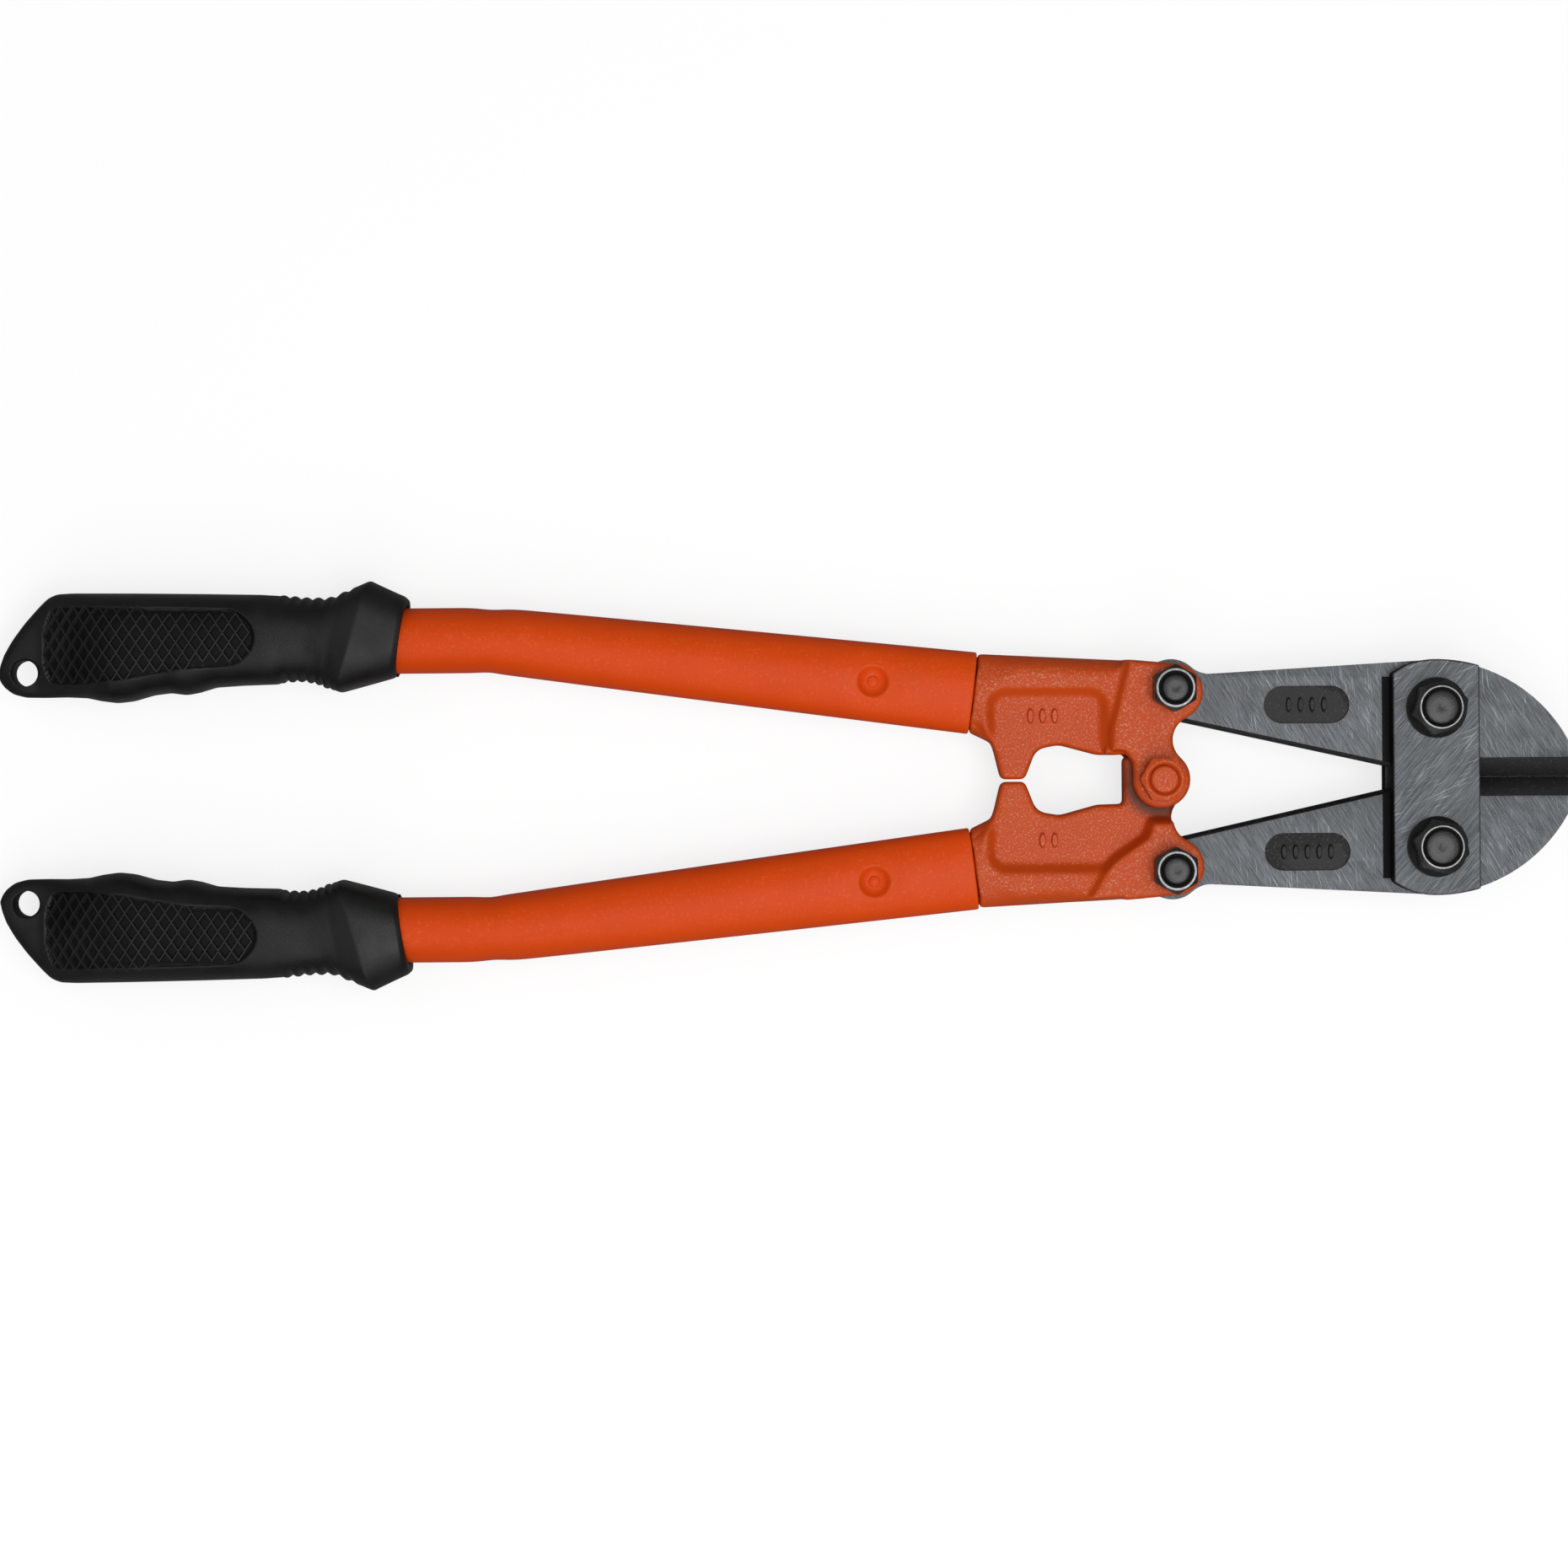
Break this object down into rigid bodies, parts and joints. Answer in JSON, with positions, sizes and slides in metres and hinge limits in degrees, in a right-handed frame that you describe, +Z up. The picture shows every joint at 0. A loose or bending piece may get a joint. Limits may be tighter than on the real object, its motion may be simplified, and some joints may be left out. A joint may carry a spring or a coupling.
{
  "type": "bolt cutters",
  "caption": "Hand bolt cutters with centre-cut jaws, compound toggle linkage, tubular steel handles and rubber grips.",
  "frame": {"origin": "centre of the bounding box in plan, on the surface that the tool lies on", "axes": "+X along the tool towards the jaws, +Y across it, +Z up through its thickness, as it lies flat"},
  "size_m": [0.4588, 0.1186, 0.032],
  "materials": {
    "steel_blade": "ground, with fine scratches and blackened edges",
    "steel_plate": "ground, with fine diagonal scratches",
    "black_oxide": "black oxide with a bright turned ring",
    "orange_paint": "semi-gloss powder coat over forged steel and tube",
    "grip_rubber": "matt moulded rubber with a lattice"
  },
  "bodies": {
    "head": {"front_side_plate": "steel_plate", "rear_side_plate": "steel_plate", "upper_blade_bolt": "black_oxide", "lower_blade_bolt": "black_oxide", "upper_blade_nut": "black_oxide", "lower_blade_nut": "black_oxide"},
    "centre_pin": {"centre_bolt": "orange_paint", "centre_nut": "orange_paint"},
    "upper_handle": {"upper_bracket": "orange_paint", "upper_tube": "orange_paint", "upper_tang_rivet": "orange_paint", "upper_grip": "grip_rubber", "upper_toggle_bolt": "black_oxide", "upper_toggle_nut": "black_oxide"},
    "lower_handle": {"lower_bracket": "orange_paint", "lower_tube": "orange_paint", "lower_tang_rivet": "orange_paint", "lower_grip": "grip_rubber", "lower_toggle_bolt": "black_oxide", "lower_toggle_nut": "black_oxide"},
    "upper_blade_body": {"upper_blade": "steel_blade"},
    "lower_blade_body": {"lower_blade": "steel_blade"}
  },
  "joints": [
    {"name": "centre_slide", "type": "slide", "parent": "head", "child": "centre_pin", "axis": [-1, 0, 0], "range_m": [0, 0.01995]},
    {"name": "upper_handle_swing", "type": "hinge", "parent": "centre_pin", "child": "upper_handle", "pos_m": [0.10708, 0, 0.014], "axis": [0, 0, -1], "range_deg": [0, 55]},
    {"name": "lower_handle_swing", "type": "hinge", "parent": "centre_pin", "child": "lower_handle", "pos_m": [0.10708, 0, 0.014], "axis": [0, 0, 1], "range_deg": [0, 55]},
    {"name": "upper_blade_swing", "type": "hinge", "parent": "upper_handle", "child": "upper_blade_body", "pos_m": [0.11038, 0.0262, 0.014], "axis": [0, 0, 1], "range_deg": [0, 65.5]},
    {"name": "lower_blade_swing", "type": "hinge", "parent": "lower_handle", "child": "lower_blade_body", "pos_m": [0.11038, -0.0262, 0.014], "axis": [0, 0, -1], "range_deg": [0, 65.5]}
  ],
  "couplings": [
    {"joint": "lower_handle_swing", "follows": "upper_handle_swing", "ratio": 1},
    {"joint": "centre_slide", "follows": "upper_handle_swing", "m_per_rad": 0.020751},
    {"joint": "upper_blade_swing", "follows": "upper_handle_swing", "ratio": 1.1906},
    {"joint": "lower_blade_swing", "follows": "upper_handle_swing", "ratio": 1.1906}
  ]
}
